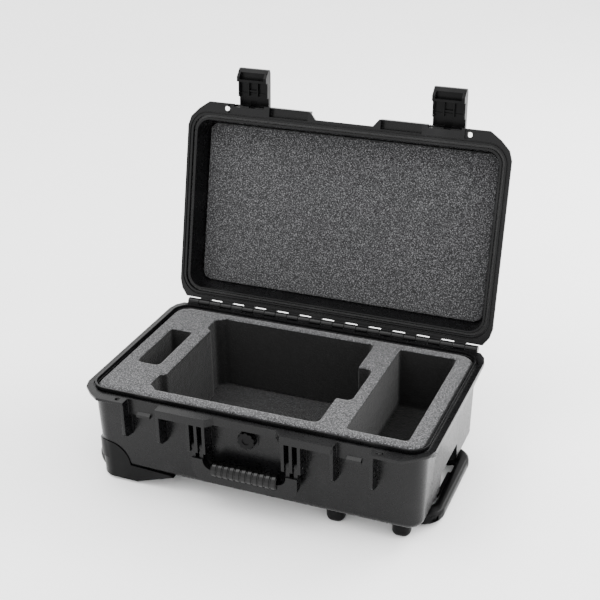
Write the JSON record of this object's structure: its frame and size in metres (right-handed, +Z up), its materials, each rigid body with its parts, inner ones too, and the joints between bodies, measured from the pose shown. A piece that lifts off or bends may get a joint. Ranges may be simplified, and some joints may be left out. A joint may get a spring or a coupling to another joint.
{
  "type": "wheeled_carrying_case",
  "caption": "Open hard carrying case for a drone: moulded black shell with cut foam bays, hinged lid, swing latches, carry handle, pull-out trolley grip and inset wheels",
  "frame": {"origin": "middle of the flat raised panel under the base tub", "axes": "+X runs along the length to the trolley grip end, -Y is the front with latches and carry handle, +Z is up"},
  "size_m": [0.551, 0.473, 0.5494],
  "materials": {
    "shell": "satin moulded black, fine grain",
    "trim": "satin moulded black",
    "grip": "soft black rubber",
    "foam_grey": "open cell foam, speckled grey",
    "foam_dark": "open cell foam, dark speckled grey",
    "steel": "plain steel",
    "tube_black": "black anodised",
    "tube_silver": "anodised silver",
    "tyre": "polyurethane tread",
    "hub": "moulded",
    "seal": "matt seal"
  },
  "bodies": {
    "base": {"base_shell": "shell", "hinge_rod": "steel", "base_foam": "foam_grey", "base_foam_pad": "foam_dark", "valve_body": "trim", "valve_nut": "trim", "handle_pins": "steel", "wheel_housing_front": "trim", "wheel_housing_rear": "trim", "wheel_axle_front": "steel", "wheel_axle_rear": "steel", "housing_screws": "steel", "feet": "trim", "foot_screws": "steel", "trolley_outer_tubes": "tube_black", "trolley_brackets": "trim", "bracket_screws": "steel", "outer_tube_collars": "trim"},
    "lid": {"lid_shell": "shell", "lid_gasket": "seal", "lid_foam": "foam_dark", "latch_pins": "steel"},
    "latch_left": {"latch_left": "trim"},
    "latch_button_left": {"latch_button_left": "trim"},
    "latch_right": {"latch_right": "trim"},
    "latch_button_right": {"latch_button_right": "trim"},
    "carry_handle": {"handle_frame": "shell", "handle_grip": "grip"},
    "wheel_front": {"wheel_tyre_front": "tyre", "wheel_hub_front": "hub", "wheel_bearings_front": "steel"},
    "wheel_rear": {"wheel_tyre_rear": "tyre", "wheel_hub_rear": "hub", "wheel_bearings_rear": "steel"},
    "trolley_mid": {"trolley_mid_tubes": "tube_black", "mid_tube_collars": "trim"},
    "trolley_grip": {"trolley_inner_tubes": "tube_silver", "trolley_grip": "trim"},
    "trolley_release": {"trolley_trigger": "trim", "release_rods": "steel"}
  },
  "joints": [
    {"name": "lid_hinge", "type": "hinge", "parent": "base", "child": "lid", "pos_m": [0, 0.171, 0.134], "axis": [-1, 0, 0], "range_deg": [-103.4, 0]},
    {"name": "latch_left_hinge", "type": "hinge", "parent": "lid", "child": "latch_left", "pos_m": [-0.16625, 0.26612, 0.45777], "axis": [-1, 0, 0], "range_deg": [-80, 0]},
    {"name": "latch_right_hinge", "type": "hinge", "parent": "lid", "child": "latch_right", "pos_m": [0.16625, 0.26612, 0.45777], "axis": [-1, 0, 0], "range_deg": [-80, 0]},
    {"name": "latch_left_press", "type": "slide", "parent": "latch_left", "child": "latch_button_left", "axis": [0, -0.9982, 0.0593], "range_m": [0, 0.003], "stiffness_N_per_m": 800, "springref_m": -0.001},
    {"name": "latch_right_press", "type": "slide", "parent": "latch_right", "child": "latch_button_right", "axis": [0, -0.9982, 0.0593], "range_m": [0, 0.003], "stiffness_N_per_m": 800, "springref_m": -0.001},
    {"name": "carry_handle_hinge", "type": "hinge", "parent": "base", "child": "carry_handle", "pos_m": [0.075, -0.162, 0.081], "axis": [-1, 0, 0], "range_deg": [0, 95]},
    {"name": "wheel_front_spin", "type": "hinge", "parent": "base", "child": "wheel_front", "pos_m": [-0.2375, -0.119, 0.004], "axis": [0, 1, 0], "continuous": true},
    {"name": "wheel_rear_spin", "type": "hinge", "parent": "base", "child": "wheel_rear", "pos_m": [-0.2375, 0.119, 0.004], "axis": [0, 1, 0], "continuous": true},
    {"name": "trolley_lower_stage", "type": "slide", "parent": "base", "child": "trolley_mid", "axis": [1, 0, 0], "range_m": [0, 0.207]},
    {"name": "trolley_upper_stage", "type": "slide", "parent": "trolley_mid", "child": "trolley_grip", "axis": [1, 0, 0], "range_m": [0, 0.207]},
    {"name": "trolley_trigger_press", "type": "slide", "parent": "trolley_grip", "child": "trolley_release", "axis": [1, 0, 0], "range_m": [0, 0.004], "stiffness_N_per_m": 800, "springref_m": -0.001}
  ],
  "couplings": [
    {"joint": "trolley_upper_stage", "follows": "trolley_lower_stage", "ratio": 1}
  ]
}
